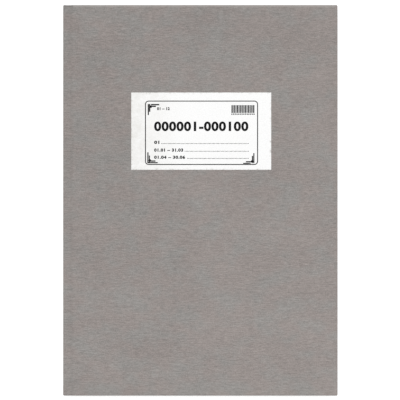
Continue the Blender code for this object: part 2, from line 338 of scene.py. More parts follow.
def painted(roughness, attribute=SHEET_PLACE):
    """Turns a function that paints a Shader into one that returns its material, made only once."""

    def wrap(paint):

        @wraps(paint)
        def finish():
            made = bpy.data.materials.get(paint.__name__)
            if made is None:
                shader = Shader(paint.__name__, roughness, attribute)
                paint(shader)
                made = shader.material
            return made

        return finish

    return wrap


def opaque(colour, factor=1.0):
    return (*(channel * factor for channel in colour), 1.0)


def tinted(colour, shares):
    """The colour with its red, green and blue each times a share."""
    return opaque([channel * share for channel, share in zip(colour, shares)])


# Tone of the covering paper: its level in the middle of the spine, and its painted light gradient,
# the change in each metre across the cover and up it
TONE_LEVEL, PAINTED_LIGHT_ACROSS, PAINTED_LIGHT_UP = 0.97, 0.24, -0.32

# Its two tints, as shares of red, green and blue; then how sharply their clouds part, the offset
# that balances them, and the change of that offset in each metre across the cover
ROSY, LEAFY = (1.014, 0.978, 0.982), (0.978, 1.012, 1.028)
TINT_CONTRAST, TINT_OFFSET, TINT_ACROSS = 4.2, -1.6, -1.5

# The painted highlight along the head of the front board, a pale strip where its rounded edge would
# catch the light: its middle below the head edge, the stretch past the joint over which it sets in,
# and how far from its middle it is full and gone
HIGHLIGHT_DROP, HIGHLIGHT_START = 0.95 * MM, 1.5 * MM
HIGHLIGHT_FULL, HIGHLIGHT_GONE = 0.24 * MM, 0.64 * MM

# The share of painted highlight in the strip, what the speckle adds to it, and how bright it is
HIGHLIGHT_SHARE, HIGHLIGHT_SPECKLE, HIGHLIGHT_TONE = 0.18, 0.42, 1.5

# The painted shade in the hollow at the head of the joint: its middle before the joint's end, how far
# from its middle it is full and gone, and how far below the head edge; then its share and how bright
# it is
SHADE_MIDDLE = 4.3 * MM
SHADE_FULL, SHADE_GONE = 3.78 * MM, 4.68 * MM
SHADE_FULL_DROP, SHADE_GONE_DROP = 1.1 * MM, 2.1 * MM
SHADE_SHARE, SHADE_TONE = 0.32, 0.3


def joint_end():
    """Where the front joint ends, measured over the paper from the middle of the spine."""
    return spine_half_length() + BOARD_INSET - seam_inset()


def head_highlight(shader, across, along, speckle):
    """Share of painted highlight in the pale strip along the head edge, speckled."""
    strip = shader.ramp(shader.distance_from(along, HALF_HEIGHT - HIGHLIGHT_DROP), HIGHLIGHT_GONE, HIGHLIGHT_FULL)
    past_joint = shader.ramp(across, joint_end(), joint_end() + HIGHLIGHT_START)
    return shader.product(strip, past_joint, shader.scaled(speckle, HIGHLIGHT_SPECKLE, HIGHLIGHT_SHARE))


def joint_shade(shader, across, along):
    """Share of painted shade in the hollow at the head of the joint."""
    from_middle = shader.distance_from(across, joint_end() - SHADE_MIDDLE)
    joint = shader.ramp(from_middle, SHADE_GONE, SHADE_FULL)
    head = shader.ramp(along, HALF_HEIGHT - SHADE_GONE_DROP, HALF_HEIGHT - SHADE_FULL_DROP)
    return shader.product(joint, head, SHADE_SHARE)


@painted(0.62)
def covering_finish(shader):
    """Grey covering paper: pressed fibres, mostly along the width, with cloudy tone, a painted light
    gradient, a painted highlight along the head and painted shade at the head of the joint.
    """
    chosen = settings().covering
    fibres = shader.noise((3.2 * MM, 0.72 * MM, 1 * MM), rough=0.6)
    threads = shader.noise((6.5 * MM, 0.95 * MM, 1 * MM), detail=1.0, rough=0.6, shift=7.7)
    grain = shader.noise((0.85 * MM, 0.75 * MM, 1 * MM), detail=1.0, rough=0.6, shift=3.1)
    speckle = shader.noise((1.9 * MM, 1.4 * MM, 1 * MM), rough=0.7, shift=9.4)
    clouds = shader.noise((38 * MM, 30 * MM, 1 * MM), detail=3.0, rough=0.6, shift=5.7)
    tints = shader.noise((17 * MM, 13 * MM, 1 * MM), rough=0.55, shift=1.3)
    across, along, _ = shader.axes()

    # The tone: the fibres round their mean, and a painted light gradient over the cover, lighter
    # towards the front's fore-edge and towards the tail
    grains = ((fibres, 1.0), (threads, 0.6), (grain, 0.95), (speckle, 0.35), (clouds, 0.35))
    depart = shader.math("SUBTRACT", shader.total(*grains), sum(weight for _, weight in grains) / 2)
    tone_and_painted_light = shader.scaled(depart, chosen.mottle, TONE_LEVEL)
    tone_and_painted_light = shader.math("ADD", tone_and_painted_light, shader.total((across, PAINTED_LIGHT_ACROSS), (along, PAINTED_LIGHT_UP)))

    # The tints: in clouds, and rosier towards the front's fore-edge
    share = shader.scaled(tints, TINT_CONTRAST, TINT_OFFSET)
    share = shader.clamped(shader.scaled(across, TINT_ACROSS, share))
    paper = shader.mix(share, tinted(chosen.colour, ROSY), tinted(chosen.colour, LEAFY))
    paper = shader.brighten(paper, tone_and_painted_light)

    # The painted highlight along the head is pale, and the painted shade at the head of the joint is
    # dark
    highlight, shaded = opaque(chosen.colour, HIGHLIGHT_TONE), opaque(chosen.colour, SHADE_TONE)
    paper = shader.mix(head_highlight(shader, across, along, speckle), paper, highlight)
    paper = shader.mix(joint_shade(shader, across, along), paper, shaded)
    shader.colour(paper)
    shader.rough(shader.scaled(fibres, 0.16, 0.56))
    shader.bump(shader.total((fibres, 0.6), (grain, 0.4)), 0.05 * MM, 0.5)


# Marks on the label: how far the soil, with painted shade, reaches from its spine side, and the
# nicked margin; then the colours of soil with painted shade and of nicks, as shares of the paper's
# red, green and blue
SOIL_AND_SHADE_REACH, NICKED_MARGIN = 40 * MM, 1.8 * MM
SOILED_AND_SHADED, NICKED = (0.84, 0.83, 0.805), (0.6, 0.58, 0.55)


@painted(0.5)
def label_finish(shader):
    """White label paper with faint soil, darkened towards its spine side by painted shade, and nicked
    along its edges.
    """
    colour = settings().label.paper
    soil_and_shade = shader.noise((6 * MM, 5 * MM, 1 * MM), detail=4.0, rough=0.7, shift=2.6)
    grain = shader.noise((1.0 * MM, 0.9 * MM, 1 * MM), shift=2.0)
    nicks = shader.noise((2.6 * MM, 2.2 * MM, 1 * MM), shift=6.6)
    across, up, _ = shader.axes()

    # Painted shade: the soil grows heavier towards the spine side, so that side of the label is darker
    reach = shader.scaled(shader.ramp(across, SOIL_AND_SHADE_REACH, 0.0), 0.95, 0.1)
    soil_and_shade = shader.product(shader.ramp(soil_and_shade, 0.227, 0.682), reach)
    paper = shader.mix(soil_and_shade, opaque(colour), tinted(colour, SOILED_AND_SHADED))

    from_sides = shader.math("SUBTRACT", LABEL_WIDTH / 2, shader.distance_from(across, LABEL_WIDTH / 2))
    from_ends = shader.math("SUBTRACT", LABEL_HEIGHT / 2, shader.distance_from(up, -LABEL_HEIGHT / 2))
    margin = shader.ramp(shader.math("MINIMUM", from_sides, from_ends), NICKED_MARGIN, 0.0)
    nicks = shader.product(shader.ramp(nicks, 0.54, 0.74), margin)
    paper = shader.mix(nicks, paper, tinted(colour, NICKED))
    shader.colour(shader.brighten(paper, shader.scaled(grain, 0.2, 0.9)))
    shader.bump(grain, 0.02 * MM, 0.3)


@painted(0.7)
def ink_finish(shader):
    """Black printing ink, a little thin where the paper's grain shows through."""
    shader.surface.inputs["Specular IOR Level"].default_value = 0.08
    grain = shader.noise((0.25 * MM, 0.25 * MM, 1 * MM))
    shader.colour(shader.brighten(opaque(settings().label.ink), shader.scaled(grain, 1.2, 0.4)))


def paper_tone(shader, colour, depth):
    """Soft clouds and fine fibres over a paper colour, and the fibres' relief."""
    clouds = shader.noise((45 * MM, 38 * MM, 4 * MM), detail=3.0)
    fibres = shader.noise((1.6 * MM, 0.7 * MM, 0.12 * MM), detail=3.0, rough=0.6, shift=4.0)
    factor = shader.math("ADD", shader.total((clouds, depth), (fibres, depth)), 1.0 - depth)
    shader.bump(fibres, 0.03 * MM, 0.4)
    return shader.brighten(opaque(colour), factor)


@painted(0.8)
def endpaper_finish(shader):
    """Plain off-white endpaper."""
    shader.colour(paper_tone(shader, settings().leaves.endpaper_colour, 0.05))


@painted(0.8, attribute=None)
def fold_finish(shader):
    """The bound strip of the endpapers, in the endpapers' own colour."""
    shader.colour(paper_tone(shader, settings().leaves.endpaper_colour, 0.05))


# Ruling of the pages: head and tail rules above and below the middle of the page, half widths of
# the lines, the money columns' lines, as insets, and the margin that stays free at the edges
HEAD_RULE, TAIL_RULE = 118 * MM, -133 * MM
FEINT_LINE, COLUMN_LINE, HEAD_LINE = 0.12 * MM, 0.16 * MM, 0.22 * MM
COLUMNS = [inset * MM for inset in (24, 30, 98, 110, 128, 134.5, 152.5, 159, 177, 183.5)]
RULE_MARGIN = 1.2 * MM
FEINT_BLUE, COLUMN_RED = (0.34, 0.50, 0.66, 1.0), (0.62, 0.16, 0.15, 1.0)


@painted(0.82)
def page_finish(shader):
    """Cash-ruled page: blue feint lines, a head rule, and red money columns."""
    chosen = settings().leaves
    paper = paper_tone(shader, chosen.page_colour, 0.06)
    across, along, _ = shader.axes()
    ruled = shader.product(
        shader.math("LESS_THAN", across, FORE_EDGE_INSET - RULE_MARGIN),
        shader.math("LESS_THAN", shader.distance_from(along, 0.0), HALF_BLOCK - RULE_MARGIN))

    from_line = shader.math("PINGPONG", along, chosen.rule_spacing / 2)
    feint = shader.product(
        shader.math("LESS_THAN", from_line, FEINT_LINE), shader.math("LESS_THAN", along, HEAD_RULE),
        shader.math("GREATER_THAN", along, TAIL_RULE), ruled, 0.75)
    page = shader.mix(feint, paper, FEINT_BLUE)

    red = shader.band(along, HEAD_RULE, HEAD_LINE)
    for inset in COLUMNS:
        red = shader.math("MAXIMUM", red, shader.band(across, inset, COLUMN_LINE))
    shader.colour(shader.mix(shader.product(red, ruled, 0.7), page, COLUMN_RED))


@painted(0.9, attribute=None)
def greyboard_finish(shader):
    """Pulp board: grey with dark and pale fibres."""
    dark, pale = (0.30, 0.27, 0.23, 1.0), (0.40, 0.37, 0.32, 1.0)
    fibres = shader.noise((1.2 * MM, 0.5 * MM, 0.4 * MM), detail=4.0, rough=0.7)
    flecks = shader.noise((0.7 * MM, 0.7 * MM, 0.7 * MM), detail=1.0, shift=6.0)
    board = shader.mix(shader.ramp(flecks, 0.4, 0.8), dark, pale)
    shader.colour(shader.brighten(board, shader.scaled(fibres, 0.3, 0.85)))
    shader.bump(fibres, 0.08 * MM, 0.6)


@painted(0.85, attribute=None)
def kraft_finish(shader):
    """Brown kraft paper with machine-direction streaks."""
    brown = (0.42, 0.27, 0.15, 1.0)
    streaks = shader.noise((0.5 * MM, 9 * MM, 0.5 * MM), detail=3.0)
    shader.colour(shader.brighten(brown, shader.scaled(streaks, 0.5, 0.75)))
    shader.bump(streaks, 0.03 * MM, 0.5)


@painted(0.95, attribute=None)
def mull_finish(shader):
    """Open starched cloth: threads that cross at an even pitch."""
    hollow, thread = (0.50, 0.46, 0.38, 1.0), (0.80, 0.78, 0.70, 1.0)
    pitch = 1.1 * MM
    _, along, up = shader.axes()
    threads = shader.math("MAXIMUM", shader.wave(along, pitch), shader.wave(up, pitch))
    slubs = shader.noise((2 * MM, 2 * MM, 2 * MM))
    shader.colour(shader.mix(shader.product(threads, shader.scaled(slubs, 0.3, 0.8)), hollow, thread))
    shader.bump(threads, 0.15 * MM, 0.8)


@painted(0.85, attribute=None)
def thread_finish(shader):
    """Twisted cotton."""
    hollow, strand = (0.74, 0.71, 0.63, 1.0), (0.90, 0.88, 0.82, 1.0)
    twist = shader.total(*((axis, 1.0) for axis in shader.axes()))
    ply = shader.wave(twist, 2.856 * MM)
    shader.colour(shader.mix(ply, hollow, strand))
    shader.bump(ply, 0.03 * MM, 0.7)


@painted(0.35, attribute=None)
def glue_finish(shader):
    """Dried glue: cream, brushed on unevenly."""
    thick, thin = (0.72, 0.64, 0.46, 1.0), (0.84, 0.79, 0.64, 1.0)
    strokes = shader.noise((1 * MM, 6 * MM, 1.2 * MM))
    shader.colour(shader.mix(strokes, thick, thin))
    shader.rough(shader.scaled(strokes, 0.3, 0.25))
    shader.bump(strokes, 0.08 * MM, 0.5)


# Meshes


def at(inset, rise, along):
    """World place of a point of the cross-section, at a distance along Y."""
    return Vector((SPINE_FACE + inset, along, MIDDLE + rise))


def smooth_step(value, low, high):
    share = min(1.0, max(0.0, (value - low) / (high - low)))
    return share * share * (3 - 2 * share)


def between(low, high, count):
    """Evenly spaced values from low to high, both included."""
    return [low + (high - low) * index / count for index in range(count + 1)]


BEND_STEPS = 8


def rounded_line(corners, radii):
    """Points along a line through the corners, each inner corner rounded to its radius."""
    points = [Vector(corners[0])]
    for before, corner, after, radius in zip(corners, corners[1:], corners[2:], radii):
        corner = Vector(corner)
        back = (Vector(before) - corner).normalized()
        forward = (Vector(after) - corner).normalized()
        half = back.angle(forward) / 2
        middle = corner + (back + forward).normalized() * radius / math.sin(half)
        first = corner + back * radius / math.tan(half) - middle
        last = corner + forward * radius / math.tan(half) - middle
        turn = first.angle_signed(last)
        for step in range(BEND_STEPS + 1):
            spoke = first.copy()
            spoke.rotate(Matrix.Rotation(-turn * step / BEND_STEPS, 2))
            points.append(middle + spoke)
    points.append(Vector(corners[-1]))
    return points


def fine_steps(points, longest):
    """The same line with points added, so that no step of it is much longer than the longest."""
    found = []
    for first, second in zip(points, points[1:]):
        parts = max(1, round((second - first).length / longest))
        found += [first.lerp(second, step / parts) for step in range(parts)]
    return found + [points[-1]]


def lengths_along(points):
    total = 0.0
    lengths = [total]
    for first, second in zip(points, points[1:]):
        total += (second - first).length
        lengths.append(total)
    return lengths


# Points closer than this are one, and an edge whose faces meet at more than the angle is sharp
WELD_DISTANCE = 0.001 * MM
SHARP_ANGLE = math.radians(40)


class Sheet:
    def __init__(self, name):
        self.name = name
        self.mesh = bmesh.new()
        self.layer = self.mesh.verts.layers.float_vector.new(SHEET_PLACE)

    def point(self, place, across, along, up=0.0):
        made = self.mesh.verts.new(place)
        made[self.layer] = Vector((across, along, up))
        return made

    def grid(self, rows):
        for first, second in zip(rows, rows[1:]):
            for corners in zip(first, first[1:], second[1:], second):
                self.mesh.faces.new(corners)

    def turn_faces(self, outward):
        """Turns all faces one way, so that on the whole they face outward."""
        bmesh.ops.recalc_face_normals(self.mesh, faces=self.mesh.faces)
        lean = sum(face.normal.dot(outward(face.calc_center_median())) * face.calc_area()
                   for face in self.mesh.faces)
        if lean < 0:
            bmesh.ops.reverse_faces(self.mesh, faces=self.mesh.faces)

    def turn_faces_up(self):
        """Turns each face of a flat sheet upwards."""
        self.mesh.normal_update()
        downward = [face for face in self.mesh.faces if face.normal.z < 0]
        bmesh.ops.reverse_faces(self.mesh, faces=downward)

    def finish(self, thickness, finish, offset=-1.0, outward=None):
        """The object: its faces turned outward, or up where no outward way is given, and made thick:
        behind them at an offset of -1, and half on each side at 0."""
        bmesh.ops.remove_doubles(self.mesh, verts=self.mesh.verts, dist=WELD_DISTANCE)
        bmesh.ops.dissolve_degenerate(self.mesh, edges=self.mesh.edges, dist=WELD_DISTANCE / 2)
        if outward is None:
            self.turn_faces_up()
        else:
            self.turn_faces(outward)
        data = bpy.data.meshes.new(self.name)
        self.mesh.to_mesh(data)
        self.mesh.free()
        made = bpy.data.objects.new(self.name, data)
        bpy.context.scene.collection.objects.link(made)
        modifier = made.modifiers.new("thickness", "SOLIDIFY")
        modifier.thickness = thickness
        modifier.offset = offset
        modifier.use_quality_normals = True
        apply_modifiers(made)
        made.data.materials.append(finish)
        smooth_by_angle(made, SHARP_ANGLE)
        return made


def apply_modifiers(made):
    bpy.context.view_layer.update()
    evaluated = made.evaluated_get(bpy.context.evaluated_depsgraph_get())
    data = bpy.data.meshes.new_from_object(evaluated)
    made.modifiers.clear()
    made.data = data


def smooth_by_angle(made, angle):
    """Smooth shading, with edges left sharp where the faces meet at more than the angle."""
    made.data.shade_smooth()
    shape = bmesh.new()
    shape.from_mesh(made.data)
    for edge in shape.edges:
        if len(edge.link_faces) == 2 and edge.calc_face_angle(0.0) > angle:
            edge.smooth = False
    shape.to_mesh(made.data)
    shape.free()


# Covering paper

# The band along the edges of a board whose paper is built in rings round the edge, the radius of its
# lower edge, and how many steps a quarter turn has
EDGE_BAND = 1.8 * MM
LOWER_RADIUS = 0.6 * MM
CORNER_STEPS = 6

# The rows of the top face are closer together from this far inside the block's ends
CLOSE_ROWS = 6 * MM

# The joint: radius of the soft bends beside the groove, the most that one step of the paper over it
# is long, how far the ramp runs on over the board, and the flat beside it
SOFT_BEND = 1.5 * MM
JOINT_STEP = 0.2 * MM
RAMP_PAST_BOARD = 0.3 * MM
FLAT_PAST_RAMP = 4 * MM

# In the joint the turned-in paper lies above the pastedown by the lift, and comes down beside the
# board; the seam is a little past the foot of the spine's slope
JOINT_LIFT = 0.12 * MM
JOINT_LANDING = 1.5 * MM
SEAM_PAST_FOOT = 0.25 * MM

# The head edge is rounder from the spine to the first of these insets, and plain past the second
SOFT_HEAD_END, PLAIN_HEAD_START = 30 * MM, 90 * MM

# The paper sinks at the ends of the groove from a little past the block's ends, over the stretch
# between the stiffener and the board
SINK_PAST_BLOCK = 0.8 * MM
SINK_RISE, SINK_FALL = 1.8 * MM, 1.2 * MM

# The sink at the other three ends, as a share of the one at the head of the front, and the sink of
# the turned-in paper, as a share of the outer paper's
OTHER_END_SINK = 0.25
TURNED_IN_SINK = 0.4

# The spine's covering: its longest step, and its turn-in's distance from the stiffener
SPINE_STEP = 1.5 * MM
TURNED_GAP = 0.28 * MM

# The spine's covering lies round an axis that runs along the block, this far past the seams
AXIS_PAST_SEAM = 2 * MM


def turn_section(radius, turn_in):
    """The covering's section over a board's edge: (distance in from the edge, share of the height)
    from the top face round to the turn-in's inner edge."""
    height = COVER_RISE - TURN_IN_RISE
    share = radius / height
    section = [(EDGE_BAND, 1.0)]
    quarter = between(0.0, math.pi / 2, CORNER_STEPS)
    for angle in quarter:
        section.append((radius * (1 - math.sin(angle)), 1 - share * (1 - math.cos(angle))))
    lower = min(radius, LOWER_RADIUS)
    share = lower / height
    for angle in reversed(quarter):
        section.append((lower * (1 - math.sin(angle)), share * (1 - math.cos(angle))))
    section.append((EDGE_BAND, 0.0))
    for reach in (0.2, 0.6, 1.0):
        section.append((turn_in * reach, 0.0))
    return section


def edge_radius_at(inset, end):
    """Radius of the covering's edge: the head edge is rounder towards the spine."""
    covering = settings().covering
    if end < 0:
        return covering.edge_radius
    soft = 1 - smooth_step(inset, SOFT_HEAD_END, PLAIN_HEAD_START)
    return covering.edge_radius * (1 + covering.head_softness * soft)


def section_at(inset, end):
    return turn_section(edge_radius_at(inset, end), settings().covering.turn_in)


def section_lengths(section):
    """How far round the edge each point of the section lies, measured over the paper."""
    height = COVER_RISE - TURN_IN_RISE
    return lengths_along([Vector((distance, share * height)) for distance, share in section])


def end_sink(side, inset, along):
    """How far the groove's paper sinks at its head and tail, where no leaf holds it up: most at
    the head of the front."""
    covering = settings().covering
    deepest = side == FRONT and along > 0
    dip = covering.end_dip if deepest else OTHER_END_SINK * covering.end_dip
    window = smooth_step(inset, STIFFENER_INSET, STIFFENER_INSET + SINK_RISE)
    window *= 1 - smooth_step(inset, BOARD_INSET - SINK_FALL, BOARD_INSET)
    return dip * window * smooth_step(abs(along), HALF_BLOCK + SINK_PAST_BLOCK, HALF_HEIGHT)


def covered(sheet, side, outer, inner, share, along, place):
    """A vertex of the covering, between its turned-in face (share 0) and its outer face (share 1)."""
    spot = inner.lerp(outer, share)
    sink = end_sink(side if spot.y > 0 else -side, spot.x, along)
    sink *= TURNED_IN_SINK + (1 - TURNED_IN_SINK) * share
    rise = spot.y - math.copysign(sink, spot.y)
    return sheet.point(at(spot.x, side * rise, along), *place)


def groove_rise():
    return SHOULDER_RISE - settings().covering.groove_depth


def board_stations():
    """Outer and turned-in points of the cross-section from the groove to the fore-edge."""
    ramp_end = BOARD_INSET + RAMP_PAST_BOARD
    ramp_start = ramp_end - settings().covering.groove_ramp
    flat = ramp_end + FLAT_PAST_RAMP
    line = rounded_line(
        [(seam_inset(), groove_rise()), (ramp_start, groove_rise()), (ramp_end, COVER_RISE),
         (flat, COVER_RISE)], [SOFT_BEND, SOFT_BEND])
    line = fine_steps(line[:-1], JOINT_STEP) + line[-1:]
    for inset in between(flat, COVER_INSET - EDGE_BAND, 24)[1:]:
        line.append(Vector((inset, COVER_RISE)))
    return [(outer, Vector((outer.x, joint_rise(outer.x)))) for outer in line]


def joint_rise(inset):
    """Rise of the turned-in paper: over the joint it lies a little above the pastedown."""
    landed = smooth_step(inset, BOARD_INSET - JOINT_LANDING, BOARD_INSET)
    return TURN_IN_RISE + JOINT_LIFT * (1 - landed)


def seam_inset():
    """Where the spine's covering and a board's covering meet, in the groove."""
    covering = settings().covering
    return covering.shoulder_width + covering.groove_slope + SEAM_PAST_FOOT


def along_rows():
    """Rows from head to tail of a covering's top face, closer together near its ends."""
    near = between(HALF_BLOCK, HALF_HEIGHT - EDGE_BAND, 3)
    inner = HALF_BLOCK - CLOSE_ROWS
    return list(reversed(near)) + between(inner, -inner, 22) + [-place for place in near]


class BoardWrap:
    """The sheet that wraps one board: its top face, and rings round its edges to the turn-ins."""

    def __init__(self, side, name):
        self.side = side
        self.sheet = Sheet(name)
        self.stations = board_stations()
        start = spine_half_length()
        spread = lengths_along([outer for outer, _ in self.stations])
        self.distances = [start + length for length in spread]
        self.rows = along_rows()

    def add_top(self):
        """The outer face, from the groove to the band along the fore-edge."""
        self.sheet.grid([[covered(self.sheet, self.side, outer, inner, 1.0, along,
                                  (self.side * distance, along))
                          for (outer, inner), distance in zip(self.stations, self.distances)]
                         for along in self.rows])

    def add_edges(self):
        """The paper round the other three edges, in rings from the outer face to the turn-ins."""
        covering = settings().covering
        section = turn_section(covering.edge_radius, covering.turn_in)
        rings = []
        for step, ((inward, share), length) in enumerate(zip(section, section_lengths(section))):
            rise = TURN_IN_RISE + (COVER_RISE - TURN_IN_RISE) * share
            rings.append(self.end_points(1, step)
                         + self.corner_points(1, inward, rise, length)
                         + self.fore_edge_points(inward, rise, length)
                         + self.corner_points(-1, inward, rise, length)[::-1]
                         + self.end_points(-1, step)[::-1])
        self.sheet.grid(rings)

    def end_points(self, end, step):
        """One ring's points along the head or tail edge, from the groove to the fore-edge."""
        found = []
        for (outer, inner), distance in zip(self.stations, self.distances):
            section = section_at(outer.x, end)
            inward, share = section[step]
            length = section_lengths(section)[step]
            limit = COVER_INSET - max(inward, EDGE_BAND)
            outer = Vector((min(outer.x, limit), outer.y))
            inner = Vector((min(inner.x, limit), inner.y))
            place = (self.side * distance, end * (HALF_HEIGHT - EDGE_BAND + length))
            found.append(covered(self.sheet, self.side, outer, inner, share,
                                 end * (HALF_HEIGHT - inward), place))
        return found

    def corner_points(self, end, inward, rise, length):
        """One ring's points round a corner of the board, from the end edge to the fore-edge."""
        limit = max(inward, EDGE_BAND)
        radius = max(EDGE_BAND - inward, 0.0) * settings().covering.corner_radius / EDGE_BAND
        flat = limit - inward - radius
        found = []
        for angle in between(0.0, math.pi / 2, CORNER_STEPS):
            inset = COVER_INSET - limit + flat + radius * math.sin(angle)
            along = end * (HALF_HEIGHT - limit + flat + radius * math.cos(angle))
            place = (self.side * (self.distances[-1] + length * math.sin(angle)),
                     end * (HALF_HEIGHT - EDGE_BAND + length * math.cos(angle)))
            found.append(self.sheet.point(at(inset, self.side * rise, along), *place))
        return found

    def fore_edge_points(self, inward, rise, length):
        """One ring's points along the fore-edge, from head to tail."""
        limit = HALF_HEIGHT - max(inward, EDGE_BAND)
        distance = self.side * (self.distances[-1] + length)
        found = []
        for along in self.rows:
            held = max(-limit, min(limit, along))
            found.append(self.sheet.point(
                at(COVER_INSET - inward, self.side * rise, held), distance, along))
        return found


def add_board_covering(side, name, node):
    """Covering of one board and of its side of the groove, with its turn-ins."""
    wrap = BoardWrap(side, name)
    wrap.add_top()
    wrap.add_edges()
    middle = at((BOARD_INSET + COVER_INSET) / 2, side * (COVER_RISE + TURN_IN_RISE) / 2, 0)
    made = wrap.sheet.finish(settings().covering.thickness, covering_finish(),
                             outward=lambda spot: spot - middle)
    bend_at_hinge(made)
    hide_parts(node)


def bend_at_hinge(made):
    """Bakes the piece's transform into its mesh."""
    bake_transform(made)


def spine_line():
    """Outer line of the spine's covering, from its front seam over its face to its back seam."""
    covering = settings().covering
    foot = covering.shoulder_width + covering.groove_slope
    half = [(seam_inset(), groove_rise()), (foot, groove_rise()),
            (covering.shoulder_width, SHOULDER_RISE), (0.0, SHOULDER_RISE)]
    corners = half + [(inset, -rise) for inset, rise in reversed(half)]
    bends = [SOFT_BEND, SOFT_BEND]
    return rounded_line(corners, bends + [covering.spine_radius, covering.spine_radius] + bends)


def spine_half_length():
    return lengths_along(spine_line())[-1] / 2


def add_spine_covering():
    """Covering of the spine and both shoulders, turned in over the stiffener at head and tail."""
    covering = settings().covering
    sheet = Sheet("spine_covering")
    line = fine_steps(spine_line(), SPINE_STEP)
    distances = lengths_along(line)
    half = distances[-1] / 2
    turned_inset = STIFFENER_INSET + TURNED_GAP

    def turned_in(outer):
        """The turned-in point behind an outer one: inside the stiffener, then beside it to the seam."""
        reach = smooth_step(outer.x, turned_inset, seam_inset())
        inset = turned_inset + (seam_inset() - turned_inset) * reach
        level = joint_rise(outer.x)
        level = min(abs(outer.y), level + (1 - reach) * (STIFFENER_RISE - level))
        return Vector((inset, math.copysign(level, outer.y)))

    pairs = [(outer, turned_in(outer), half - distance) for outer, distance in zip(line, distances)]
    sheet.grid([[covered(sheet, FRONT, outer, inner, 1.0, along, (distance, along))
                 for outer, inner, distance in pairs] for along in along_rows()])
    for end in (1, -1):
        section = section_at(0.0, end)
        sheet.grid([[covered(sheet, FRONT, outer, inner, share, end * (HALF_HEIGHT - inward),
                             (distance, end * (HALF_HEIGHT - EDGE_BAND + length)))
                     for outer, inner, distance in pairs]
                    for (inward, share), length in zip(section, section_lengths(section))])
    axis = at(seam_inset() + AXIS_PAST_SEAM, 0, 0)

    def outward(spot):
        """Away from the axis, for the faces that don't lie on the turn-ins."""
        if abs(spot.y) > HALF_HEIGHT - covering.turn_in / 2:
            return Vector((0, 0, 0))
        away = spot - axis
        return Vector((away.x, 0, away.z))

    made = sheet.finish(covering.thickness, covering_finish(), outward=outward)
    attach(made, "block")
    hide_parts("spine_cover_paper")


# Endpapers and leaves

# The pastedown's fine steps run from just past the hinge's axis to a little over the board
PAST_HINGE = 0.05 * MM
OVER_BOARD = 1 * MM

# A section: its folded sheets, the room between its own leaves and those that turn, and the share
# of the room for one leaf that its paper fills
SECTION_SHEETS = 5
TURNING_ROOM = 0.06 * MM
PAPER_SHARE = 0.86


def add_pastedown(side, name, node):
    """The glued half of an endpaper: over the board and its turn-ins, and down into the joint."""
    low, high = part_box(node)
    outer_rise = max(abs(low.z - MIDDLE), abs(high.z - MIDDLE))
    thickness = high.z - low.z
    sheet = Sheet(name)
    insets = between(HINGE_INSET + PAST_HINGE, BOARD_INSET + OVER_BOARD, 28)
    insets += between(BOARD_INSET + OVER_BOARD, FORE_EDGE_INSET, 20)[1:]
    rows = between(HALF_BLOCK, -HALF_BLOCK, 24)
    sheet.grid([[sheet.point(at(inset, side * (outer_rise - thickness / 2), along), inset, along)
                 for inset in insets] for along in rows])
    made = sheet.finish(thickness, endpaper_finish(), offset=0.0)
    bend_at_hinge(made)
    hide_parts(node)


def middle_rise(node):
    low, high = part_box(node)
    return (low.z + high.z) / 2 - MIDDLE


def uneven_edges(draw):
    """How far one leaf's fore-edge, head and tail stand back."""
    most = settings().leaves.unevenness
    return [draw.uniform(0.1, 1.0) * most for _ in range(3)]


def leaf_rows(back_head, back_tail, count):
    return between(HALF_BLOCK - back_head, back_tail - HALF_BLOCK, count)


def add_turning_leaf(node, finish, draw):
    """A leaf that turns: a flat sheet, with closer steps over the curl's width beside the gutter."""
    low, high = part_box(node)
    rise = middle_rise(node)
    thickness = high.z - low.z
    curl_end = GUTTER_INSET + settings().leaves.curl
    fore, head, tail = uneven_edges(draw)
    sheet = Sheet(node + "_sheet")
    insets = between(GUTTER_INSET, curl_end, 16)
    insets += between(curl_end, FORE_EDGE_INSET - fore, 16)[1:]
    sheet.grid([[sheet.point(at(inset, rise, along), inset, along) for inset in insets]
                for along in leaf_rows(head, tail, 12)])
    made = sheet.finish(thickness, finish, offset=0.0)
    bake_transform(made)
    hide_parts(node)


def leaf_rises(low, high, count):
    """Middle rises of evenly stacked leaves between two rises, from the front backwards."""
    pitch = (high - low) / count
    return [high - pitch * (index + 0.5) for index in range(count)], pitch


def add_section(node, turning_front, turning_back, draw):
    """One section of folded leaves; leaves that turn on their own stop at the gutter here."""
    low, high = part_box(node)
    low_rise, high_rise = low.z - MIDDLE, high.z - MIDDLE
    centre = BLOCK_INSET + (high_rise - low_rise) / 2
    upper = [middle_rise(name) for name in turning_front]
    lower = [middle_rise(name) for name in turning_back]
    top = min([high_rise] + [rise - TURNING_ROOM for rise in upper])
    bottom = max([low_rise] + [rise + TURNING_ROOM for rise in lower])
    rises, pitch = leaf_rises(bottom, top, 2 * SECTION_SHEETS - len(upper) - len(lower))
    rises = upper + rises + lower
    section = Sheet(node + "_leaves")
    for index in range(SECTION_SHEETS):
        first, last = rises[index], rises[-1 - index]
        middle, half = (first + last) / 2, (first - last) / 2
        front_back, head, tail = uneven_edges(draw)
        back_back, _, _ = uneven_edges(draw)
        front_end = GUTTER_INSET if index < len(upper) else FORE_EDGE_INSET - front_back
        back_end = GUTTER_INSET if index < len(lower) else FORE_EDGE_INSET - back_back
        path = [Vector((inset, first)) for inset in between(front_end, centre, 6)[:-1]]
        for angle in between(math.pi / 2, 3 * math.pi / 2, 8):
            path.append(Vector((centre + half * math.cos(angle), middle + half * math.sin(angle))))
        path += [Vector((inset, last)) for inset in between(centre, back_end, 6)[1:]]
        section.grid([[section.point(at(spot.x, spot.y, along), spot.x, along, spot.y)
                       for spot in path] for along in leaf_rows(head, tail, 6)])
    made = section.finish(PAPER_SHARE * pitch, page_finish(), offset=0.0)
    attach(made, "block")
    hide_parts(node)


# The label and its print

